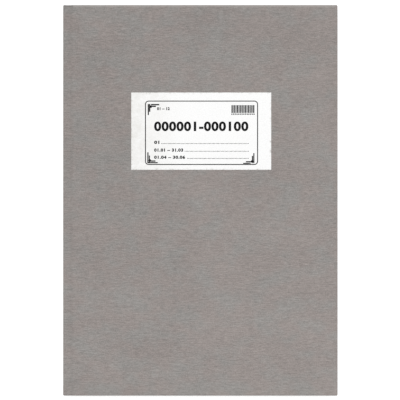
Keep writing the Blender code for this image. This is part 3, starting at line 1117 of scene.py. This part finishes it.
# The label's paper: the place of its top, the room under it, how far its edges are pressed down and
# in what width, and how far its head and tail edges stand back; then the height of its ink
LABEL_TOP = LABEL_LOW.z + 0.085 * MM
LABEL_ROOM = 0.012 * MM
PRESSED_DROP, PRESSED_WIDTH = 0.03 * MM, 0.9 * MM
LABEL_TRIM = 0.1 * MM
INK_LIFT = 0.018 * MM


def label_point(right, down, lift):
    """World place on the label: right of its left edge and down from its head edge."""
    return Vector((LABEL_LOW.x + right, LABEL_HIGH.y - down, LABEL_TOP + lift))


def label_steps(length, count):
    """Stations over the label, with one more in the middle of each pressed edge."""
    near = between(0.0, PRESSED_WIDTH, 2)
    inner = between(PRESSED_WIDTH, length - PRESSED_WIDTH, count)[1:-1]
    return near + inner + [length - place for place in reversed(near)]


def add_label_sheet():
    """The label's paper, lying on the covering with its edges pressed down a little."""
    sheet = Sheet("label_sheet")

    def surface(right, down):
        edge = min(right, LABEL_WIDTH - right, down, LABEL_HEIGHT - down)
        lift = -PRESSED_DROP * (1 - smooth_step(edge, 0.0, PRESSED_WIDTH))
        return label_point(right, max(LABEL_TRIM, min(LABEL_HEIGHT - LABEL_TRIM, down)), lift)

    sheet.grid([[sheet.point(surface(right, down), right, -down)
                 for right in label_steps(LABEL_WIDTH, 18)] for down in label_steps(LABEL_HEIGHT, 10)])
    made = sheet.finish(LABEL_TOP - PRESSED_DROP - LABEL_ROOM - COVER_HIGH.z, label_finish())
    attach(made, "front_cover")
    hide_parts("cover_label")


# As shares of the ink's height: how far each layer of it lies below the one before, and how thick
# it is. A line's mitre is worked out with a cosine of at least the last value.
LAYER_SHARE = 0.15
INK_SHARE = 0.9
LEAST_COSINE = 0.4


class Print:
    """Ink printed on the label: thin raised shapes joined in one piece."""

    def __init__(self, name):
        self.sheet = Sheet(name)
        self.layer = 0

    def strip(self, points, width, closed=False):
        """A line of even width through points given as (right, down)."""
        points = [Vector(point) for point in points]
        count = len(points)
        left, right = [], []
        for index, point in enumerate(points):
            before = points[index - 1] if closed or index > 0 else point
            after = points[(index + 1) % count] if closed or index < count - 1 else point
            ways = [way.normalized() for way in (point - before, after - point) if way.length > 0]
            normals = [Vector((-way.y, way.x)) for way in ways]
            normal = sum(normals, Vector((0, 0))).normalized()
            reach = width / 2 / max(LEAST_COSINE, normal.dot(normals[0]))
            left.append(self.spot(point + normal * reach))
            right.append(self.spot(point - normal * reach))
        self.sheet.grid([list(pair) for pair in zip(left, right)] +
                        ([[left[0], right[0]]] if closed else []))

    def spot(self, point):
        """A point of the print. Shapes that cross are on layers, each a little lower."""
        lift = INK_LIFT * (1 - LAYER_SHARE * self.layer)
        return self.sheet.point(label_point(point.x, point.y, lift), point.x, -point.y)

    def dot(self, centre, radius, sides):
        angles = between(0, 2 * math.pi, sides)[:-1]
        rim = [self.spot(Vector(centre) + radius * Vector((math.cos(angle), math.sin(angle))))
               for angle in angles]
        self.sheet.mesh.faces.new(rim)

    def bar(self, left, top, right, bottom):
        corners = [(left, top), (left, bottom), (right, bottom), (right, top)]
        self.sheet.mesh.faces.new([self.spot(Vector(corner)) for corner in corners])

    def text(self, words, left, baseline, height, width, style):
        """Plain numerals of that height and width, standing on the baseline."""
        curve = bpy.data.curves.new("numerals", "FONT")
        curve.body = words
        curve.offset, curve.space_character, curve.resolution_u = style
        carrier = bpy.data.objects.new("numerals", curve)
        bpy.context.scene.collection.objects.link(carrier)
        bpy.context.view_layer.update()
        data = bpy.data.meshes.new_from_object(
            carrier.evaluated_get(bpy.context.evaluated_depsgraph_get()))
        bpy.data.objects.remove(carrier)
        bpy.data.curves.remove(curve)
        xs = [vert.co.x for vert in data.vertices]
        ys = [vert.co.y for vert in data.vertices]
        scale = height / (max(ys) - min(ys))
        stretch = width / (max(xs) - min(xs))
        places = [self.spot(Vector((left + (vert.co.x - min(xs)) * stretch,
                                    baseline - (vert.co.y - min(ys)) * scale)))
                  for vert in data.vertices]
        for face in data.polygons:
            self.sheet.mesh.faces.new([places[index] for index in face.vertices])
        bpy.data.meshes.remove(data)

    def finish(self):
        made = self.sheet.finish(INK_LIFT * INK_SHARE, ink_finish())
        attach(made, "front_cover")


# The label's layout: places right of its left edge and down from its head edge. A row has its
# baseline and the right end of its numbers, and the gap is the room between them and its dots.
FRAME_LEFT, FRAME_TOP = 10.75 * MM, 6.6 * MM
FRAME_RIGHT, FRAME_BOTTOM = 95.68 * MM, 54.6 * MM
FRAME_RADIUS = 2.4 * MM
FRAME_LINE = 0.7 * MM
TEXT_LEFT, TEXT_RIGHT = 17.3 * MM, 88.7 * MM
NUMBERS_BASELINE = 29.4 * MM
ROW_HEIGHT = 2.5 * MM
ROWS = (
    (39.1 * MM, 21.3 * MM),
    (44.95 * MM, 39.3 * MM),
    (50.35 * MM, 40.8 * MM),
)
ROW_GAP = 1.2 * MM
ROW_DOT_PITCH, ROW_DOT_RADIUS = 0.98 * MM, 0.33 * MM
COMB_LEFT, COMB_RIGHT = 75.9 * MM, 93.5 * MM
COMB_TOP, COMB_BOTTOM = 9.65 * MM, 15.6 * MM
CORNER_NUMBERS = (19.5 * MM, 13.5 * MM)
CORNER_HEIGHT, CORNER_WIDTH = 2.3 * MM, 9.6 * MM

# The comb: its period, its bars as (place, width), and the dots below it
COMB_PERIOD = 2.05 * MM
COMB_BARS = ((0.0, 0.95 * MM), (1.28 * MM, 0.48 * MM))
COMB_DOTS, COMB_DOT_RADIUS = 14, 0.52 * MM
COMB_DOTS_LEFT, COMB_DOTS_RIGHT = COMB_LEFT + 0.3 * MM, COMB_RIGHT - 0.5 * MM
COMB_DOTS_DOWN = COMB_BOTTOM + 0.9 * MM

# Styles of the numerals: how far their outlines are moved out at a font size of 1, the factor of
# their spacing, and the steps in a curve
LARGE_STYLE = (0.042, 1.1, 7)
CORNER_STYLE = (0.05, 1.1, 4)
ROW_STYLE = (0.055, 1.14, 5)

# Corner ornaments, in millimetres like their knots: outer corner (right, down), ways towards the
# label's middle, then the bars of the upright and the level arm as (distance in, width, start, end)
KNOT_PLACE, KNOT_RADIUS = (2.1, 2.0), 1.0
ORNAMENTS = (
    ((12.7, 8.8), (1, 1),
     ((0.24, 0.9, 0.0, 8.4), (1.26, 0.95, 0.0, 5.9)), ((0.52, 1.0, 2.2, 8.5), (1.8, 0.95, 1.4, 6.0))),
    ((12.0, 53.6), (1, -1),
     ((0.6, 0.92, 0.0, 8.2), (1.75, 0.85, 0.8, 5.8)), ((0.36, 0.9, 0.7, 8.1), (1.6, 0.95, 2.4, 6.3))),
    ((93.6, 54.3), (-1, -1),
     ((0.75, 0.85, 0.7, 8.3), (1.8, 0.9, 0.7, 6.2)), ((1.74, 0.95, 2.1, 6.8), (0.55, 0.75, 3.2, 8.9))),
)


def print_frame():
    """The rounded frame line."""
    ink = Print("label_frame_line")
    left, right = FRAME_LEFT + FRAME_RADIUS, FRAME_RIGHT - FRAME_RADIUS
    top, bottom = FRAME_TOP + FRAME_RADIUS, FRAME_BOTTOM - FRAME_RADIUS
    line = []
    centres = ((right, top), (right, bottom), (left, bottom), (left, top))
    for (across, down), start in zip(centres, (-90, 0, 90, 180)):
        for angle in between(math.radians(start), math.radians(start + 90), CORNER_STEPS):
            line.append((across + FRAME_RADIUS * math.cos(angle),
                         down + FRAME_RADIUS * math.sin(angle)))
    ink.strip(line, FRAME_LINE, closed=True)
    ink.finish()


def print_ornaments():
    """Traditional corner pieces: two stepped bars on each arm, joined by a knot."""
    ink = Print("label_ornaments")
    for (right, down), (way_right, way_down), upright, level in ORNAMENTS:

        def spot(value, other):
            return ((right + way_right * value) * MM, (down + way_down * other) * MM)

        ink.layer = 0
        for place, width, start, end in upright:
            ink.strip([spot(place, start), spot(place, end)], width * MM)
        ink.layer = 1
        for place, width, start, end in level:
            ink.strip([spot(start, place), spot(end, place)], width * MM)
        ink.layer = 2
        ink.dot(spot(*KNOT_PLACE), KNOT_RADIUS * MM, sides=10)
    ink.finish()


def print_numbers():
    """The large numerals across the label, as wide as its rows, and the small ones at its corner."""
    ink = Print("label_numbers")
    label = settings().label
    ink.text(label.page_numbers, TEXT_LEFT, NUMBERS_BASELINE, label.numeral_height,
             TEXT_RIGHT - TEXT_LEFT, LARGE_STYLE)
    ink.text(label.corner_numbers, *CORNER_NUMBERS, CORNER_HEIGHT, CORNER_WIDTH, CORNER_STYLE)
    ink.finish()


def print_rows():
    """Three dotted rows to write on, each after a short number."""
    ink = Print("label_rows")
    for words, (baseline, text_right) in zip(settings().label.row_numbers.split("|"), ROWS):
        ink.text(words, TEXT_LEFT, baseline, ROW_HEIGHT, text_right - TEXT_LEFT, ROW_STYLE)
        count = int((TEXT_RIGHT - text_right - ROW_GAP) / ROW_DOT_PITCH)
        for index in range(count + 1):
            place = (TEXT_RIGHT - index * ROW_DOT_PITCH, baseline - ROW_DOT_RADIUS)
            ink.dot(place, ROW_DOT_RADIUS, sides=6)
    ink.finish()


def print_comb():
    """A comb of upright bars in an even rhythm of thick and thin."""
    ink = Print("label_comb")
    start = COMB_LEFT
    while start < COMB_RIGHT:
        for place, width in COMB_BARS:
            left = start + place
            if left + width <= COMB_RIGHT:
                ink.bar(left, COMB_TOP, left + width, COMB_BOTTOM)
        start += COMB_PERIOD
    for centre in between(COMB_DOTS_LEFT, COMB_DOTS_RIGHT, COMB_DOTS - 1):
        ink.dot((centre, COMB_DOTS_DOWN), COMB_DOT_RADIUS, sides=8)
    ink.finish()


# The stage

FLOOR_REACH = 3.0
FLOOR_DROP = 0.05 * MM
FLOOR_GREY, FLOOR_GLOW = (0.75, 0.75, 0.75, 1.0), 0.62
WHITE = (1.0, 1.0, 1.0, 1.0)
LAMP_SIZE = 2.6
LAMP_PLACE = Vector((-0.15, 1.2, 3.2))

# The camera's lens and sensor in millimetres, and how far off the cover's middle it stands
LENS, SENSOR_WIDTH = 220.0, 36.0
CAMERA_ASIDE, CAMERA_UP = -0.24 * MM, 0.28 * MM


def background_share(tree):
    """1 where the camera sees a surface, itself or in a reflection or through glass, and else 0."""
    path = tree.nodes.new("ShaderNodeLightPath")
    found = path.outputs["Is Camera Ray"]
    for way in ("Is Glossy Ray", "Is Transmission Ray"):
        larger = tree.nodes.new("ShaderNodeMath")
        larger.operation = "MAXIMUM"
        tree.links.new(found, larger.inputs[0])
        tree.links.new(path.outputs[way], larger.inputs[1])
        found = larger.outputs["Value"]
    return found


@painted(0.9)
def floor_finish(shader):
    """Pale grey under the light, and glowing up to white to the camera."""
    shader.surface.inputs["Specular IOR Level"].default_value = 0.0
    shader.surface.inputs["Emission Color"].default_value = WHITE
    shader.colour(FLOOR_GREY)
    glow = shader.math("MULTIPLY", background_share(shader.tree), FLOOR_GLOW)
    shader.feed(shader.surface.inputs["Emission Strength"], glow)


def add_floor():
    """A wide pale floor. To the camera it is white, and it still takes the book's shadow."""
    shape = bmesh.new()
    bmesh.ops.create_grid(shape, x_segments=12, y_segments=12, size=FLOOR_REACH)
    data = bpy.data.meshes.new("floor")
    shape.to_mesh(data)
    shape.free()
    floor = bpy.data.objects.new("floor", data)
    floor.location.z = BACK_LOW.z - FLOOR_DROP
    bpy.context.scene.collection.objects.link(floor)
    data.materials.append(floor_finish())


def add_lamp():
    """A large soft lamp, high over the book and towards its head."""
    data = bpy.data.lights.new("overhead_lamp", "AREA")
    data.shape = "SQUARE"
    data.size = LAMP_SIZE
    data.energy = settings().stage.lamp_power
    lamp = bpy.data.objects.new("overhead_lamp", data)
    lamp.location = LAMP_PLACE
    lamp.rotation_euler = (-LAMP_PLACE).to_track_quat("-Z", "Y").to_euler()
    bpy.context.scene.collection.objects.link(lamp)


def light_world():
    """Even white light, and a white background to the camera."""
    world = bpy.data.worlds.new("studio")
    world.use_nodes = True
    tree = world.node_tree
    background = tree.nodes["Background"]
    background.inputs["Color"].default_value = WHITE
    seen = tree.nodes.new("ShaderNodeMix")
    tree.links.new(background_share(tree), seen.inputs["Factor"])
    seen.inputs["A"].default_value = settings().stage.fill
    seen.inputs["B"].default_value = 1.0
    tree.links.new(seen.outputs["Result"], background.inputs["Strength"])
    bpy.context.scene.world = world


def add_camera():
    """A long lens straight above the front cover."""
    data = bpy.data.cameras.new("camera")
    data.sensor_width = SENSOR_WIDTH
    data.lens = LENS
    camera = bpy.data.objects.new("camera", data)
    distance = settings().stage.picture_width * LENS / SENSOR_WIDTH
    middle = at(COVER_INSET / 2, COVER_RISE, 0.0)
    camera.location = middle + Vector((CAMERA_ASIDE, CAMERA_UP, distance))
    data.clip_start = distance / 100
    data.clip_end = distance * 100
    bpy.context.scene.collection.objects.link(camera)
    bpy.context.scene.camera = camera


# Operators


class CashBookOperator(bpy.types.Operator):
    bl_options = {"REGISTER", "UNDO"}


class CASHBOOK_OT_stage(CashBookOperator):
    """Set up the floor, the light and the camera"""
    bl_idname = "cash_book.stage"
    bl_label = "Studio"

    def execute(self, context):
        add_floor()
        add_lamp()
        light_world()
        add_camera()
        context.scene.view_settings.view_transform = "Standard"
        return {"FINISHED"}


class CASHBOOK_OT_covering(CashBookOperator):
    """Cover the boards, the grooves and the spine with grey paper"""
    bl_idname = "cash_book.covering"
    bl_label = "Covering"

    def execute(self, context):
        add_spine_covering()
        add_board_covering(FRONT, "front_covering", "front_cover_paper")
        add_board_covering(BACK, "back_covering", "back_cover_paper")
        return {"FINISHED"}


class CASHBOOK_OT_label(CashBookOperator):
    """Lay the printed label on the front cover"""
    bl_idname = "cash_book.label"
    bl_label = "Label"

    def execute(self, context):
        add_label_sheet()
        print_frame()
        print_ornaments()
        print_numbers()
        print_rows()
        print_comb()
        return {"FINISHED"}


class CASHBOOK_OT_endpapers(CashBookOperator):
    """Paste down the endpapers and hang the flyleaves"""
    bl_idname = "cash_book.endpapers"
    bl_label = "Endpapers"

    def execute(self, context):
        draw = random.Random(settings().leaves.seed)
        add_pastedown(FRONT, "front_pastedown_sheet", "front_pastedown")
        add_pastedown(BACK, "back_pastedown_sheet", "back_pastedown")
        for node in ("front_flyleaf", "back_flyleaf"):
            add_turning_leaf(node, endpaper_finish(), draw)
        return {"FINISHED"}


class CASHBOOK_OT_leaves(CashBookOperator):
    """Fill the book with ruled leaves in sewn sections"""
    bl_idname = "cash_book.leaves"
    bl_label = "Leaves"

    def execute(self, context):
        draw = random.Random(settings().leaves.seed + 1)
        for node in FRONT_LEAVES + BACK_LEAVES:
            add_turning_leaf(node, page_finish(), draw)
        for node in SECTIONS:
            front = FRONT_LEAVES if node == SECTIONS[0] else []
            back = BACK_LEAVES if node == SECTIONS[-1] else []
            add_section(node, front, back, draw)
        return {"FINISHED"}


class CASHBOOK_OT_binding(CashBookOperator):
    """Finish the boards, linings, glue and thread that the frame brings"""
    bl_idname = "cash_book.binding"
    bl_label = "Binding"

    def execute(self, context):
        finishes = {
            "front_board": greyboard_finish, "back_board": greyboard_finish,
            "spine_board": greyboard_finish, "spine_lining": kraft_finish,
            "mull": mull_finish, "spine_glue": glue_finish,
            "front_endpaper_fold": fold_finish, "back_endpaper_fold": fold_finish,
        }
        finishes.update({node: thread_finish for node in THREADS})
        for node, finish in finishes.items():
            for slot in frame["nodes"][node].material_slots:
                slot.material = finish()
        return {"FINISHED"}


OPERATORS = (
    CASHBOOK_OT_stage, CASHBOOK_OT_binding, CASHBOOK_OT_leaves, CASHBOOK_OT_endpapers,
    CASHBOOK_OT_covering, CASHBOOK_OT_label,
)


class CASHBOOK_PT_sidebar(bpy.types.Panel):
    """Pieces and settings of the cash book"""
    bl_label = "Cash Book"
    bl_idname = "CASHBOOK_PT_sidebar"
    bl_space_type = "VIEW_3D"
    bl_region_type = "UI"
    bl_category = "Cash Book"

    def draw(self, context):
        chosen = context.scene.cash_book
        for group in (chosen.stage, chosen.leaves, chosen.covering, chosen.label):
            box = self.layout.box()
            for name in group.__annotations__:
                box.prop(group, name)
        for operator in OPERATORS:
            self.layout.operator(operator.bl_idname)


CLASSES = (
    CoveringSettings, LabelSettings, LeafSettings, StageSettings, CashBookSettings,
    *OPERATORS, CASHBOOK_PT_sidebar,
)


def register():
    for kind in CLASSES:
        bpy.utils.register_class(kind)
    bpy.types.Scene.cash_book = PointerProperty(type=CashBookSettings)


def unregister():
    del bpy.types.Scene.cash_book
    for kind in reversed(CLASSES):
        bpy.utils.unregister_class(kind)


def main():
    register()
    for operator in OPERATORS:
        group, name = operator.bl_idname.split(".")
        getattr(getattr(bpy.ops, group), name)()


if __name__ == "__main__":
    main()
